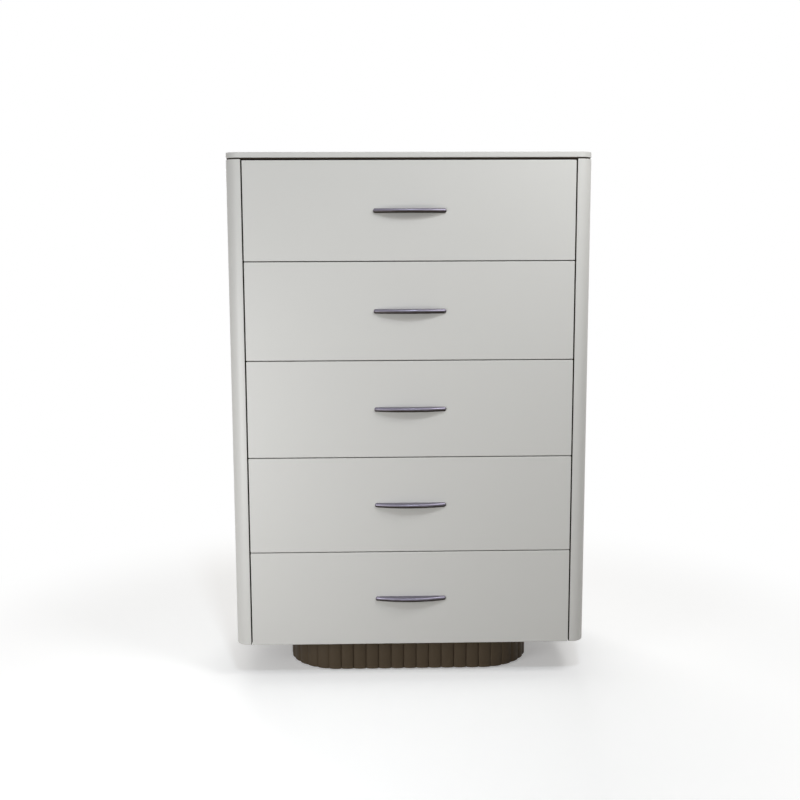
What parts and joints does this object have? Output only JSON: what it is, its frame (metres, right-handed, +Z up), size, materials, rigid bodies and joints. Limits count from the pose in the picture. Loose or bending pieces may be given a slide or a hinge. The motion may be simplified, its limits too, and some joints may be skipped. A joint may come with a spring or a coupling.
{
  "type": "chest of drawers",
  "caption": "Tall chest of drawers in satin lacquer, with crescent pulls, full-extension side slides, a floating top slab and a recessed reeded plinth.",
  "frame": {"origin": "on the floor, under the middle of the closed chest's bounding box, handles included", "axes": "+Z up; +X along the width, to the right of someone who faces the chest; -Y out of the front, the way the drawers open"},
  "size_m": [0.8, 0.418, 1.192],
  "materials": {
    "ivory_lacquer": "satin",
    "bronze_lacquer": "satin",
    "carcass_board": "matte",
    "back_board": "matte",
    "drawer_board": "satin",
    "gunmetal": "satin",
    "slide_steel": "satin",
    "screw_steel": "satin",
    "glide_rubber": "matte"
  },
  "bodies": {
    "carcass": {"top_slab": "ivory_lacquer", "top_spacer_board": "bronze_lacquer", "carcass_top_board": "carcass_board", "bottom_board": "carcass_board", "cross_rails": "carcass_board", "right_corner_post": "ivory_lacquer", "left_corner_post": "ivory_lacquer", "right_side_panel": "ivory_lacquer", "left_side_panel": "ivory_lacquer", "inner_side_panels": "carcass_board", "back_panel": "back_board", "plinth_reeded_band": "bronze_lacquer", "plinth_top_board": "carcass_board", "plinth_base_board": "carcass_board", "plinth_ribs": "carcass_board", "foot_glides": "glide_rubber", "slide_cabinet_members": "slide_steel", "slide_screws": "screw_steel", "carcass_rail_screws": "screw_steel", "panel_screws": "screw_steel"},
    "drawer_1": {"drawer_1_front": "ivory_lacquer", "drawer_1_box_sides": "drawer_board", "drawer_1_box_ends": "drawer_board", "drawer_1_bottom": "drawer_board", "drawer_1_handle": "gunmetal", "drawer_1_screws": "screw_steel", "drawer_1_slide_members": "slide_steel"},
    "drawer_1_middle": {"drawer_1_middle_members": "slide_steel"},
    "drawer_2": {"drawer_2_front": "ivory_lacquer", "drawer_2_box_sides": "drawer_board", "drawer_2_box_ends": "drawer_board", "drawer_2_bottom": "drawer_board", "drawer_2_handle": "gunmetal", "drawer_2_screws": "screw_steel", "drawer_2_slide_members": "slide_steel"},
    "drawer_2_middle": {"drawer_2_middle_members": "slide_steel"},
    "drawer_3": {"drawer_3_front": "ivory_lacquer", "drawer_3_box_sides": "drawer_board", "drawer_3_box_ends": "drawer_board", "drawer_3_bottom": "drawer_board", "drawer_3_handle": "gunmetal", "drawer_3_screws": "screw_steel", "drawer_3_slide_members": "slide_steel"},
    "drawer_3_middle": {"drawer_3_middle_members": "slide_steel"},
    "drawer_4": {"drawer_4_front": "ivory_lacquer", "drawer_4_box_sides": "drawer_board", "drawer_4_box_ends": "drawer_board", "drawer_4_bottom": "drawer_board", "drawer_4_handle": "gunmetal", "drawer_4_screws": "screw_steel", "drawer_4_slide_members": "slide_steel"},
    "drawer_4_middle": {"drawer_4_middle_members": "slide_steel"},
    "drawer_5": {"drawer_5_front": "ivory_lacquer", "drawer_5_box_sides": "drawer_board", "drawer_5_box_ends": "drawer_board", "drawer_5_bottom": "drawer_board", "drawer_5_handle": "gunmetal", "drawer_5_screws": "screw_steel", "drawer_5_slide_members": "slide_steel"},
    "drawer_5_middle": {"drawer_5_middle_members": "slide_steel"}
  },
  "joints": [
    {"name": "drawer_1_slide", "type": "slide", "parent": "carcass", "child": "drawer_1", "axis": [0, -1, 0], "range_m": [0, 0.35]},
    {"name": "drawer_1_middle_slide", "type": "slide", "parent": "carcass", "child": "drawer_1_middle", "axis": [0, -1, 0], "range_m": [0, 0.175]},
    {"name": "drawer_2_slide", "type": "slide", "parent": "carcass", "child": "drawer_2", "axis": [0, -1, 0], "range_m": [0, 0.35]},
    {"name": "drawer_2_middle_slide", "type": "slide", "parent": "carcass", "child": "drawer_2_middle", "axis": [0, -1, 0], "range_m": [0, 0.175]},
    {"name": "drawer_3_slide", "type": "slide", "parent": "carcass", "child": "drawer_3", "axis": [0, -1, 0], "range_m": [0, 0.35]},
    {"name": "drawer_3_middle_slide", "type": "slide", "parent": "carcass", "child": "drawer_3_middle", "axis": [0, -1, 0], "range_m": [0, 0.175]},
    {"name": "drawer_4_slide", "type": "slide", "parent": "carcass", "child": "drawer_4", "axis": [0, -1, 0], "range_m": [0, 0.35]},
    {"name": "drawer_4_middle_slide", "type": "slide", "parent": "carcass", "child": "drawer_4_middle", "axis": [0, -1, 0], "range_m": [0, 0.175]},
    {"name": "drawer_5_slide", "type": "slide", "parent": "carcass", "child": "drawer_5", "axis": [0, -1, 0], "range_m": [0, 0.35]},
    {"name": "drawer_5_middle_slide", "type": "slide", "parent": "carcass", "child": "drawer_5_middle", "axis": [0, -1, 0], "range_m": [0, 0.175]}
  ],
  "couplings": [
    {"joint": "drawer_1_middle_slide", "follows": "drawer_1_slide", "ratio": 0.5},
    {"joint": "drawer_2_middle_slide", "follows": "drawer_2_slide", "ratio": 0.5},
    {"joint": "drawer_3_middle_slide", "follows": "drawer_3_slide", "ratio": 0.5},
    {"joint": "drawer_4_middle_slide", "follows": "drawer_4_slide", "ratio": 0.5},
    {"joint": "drawer_5_middle_slide", "follows": "drawer_5_slide", "ratio": 0.5}
  ]
}
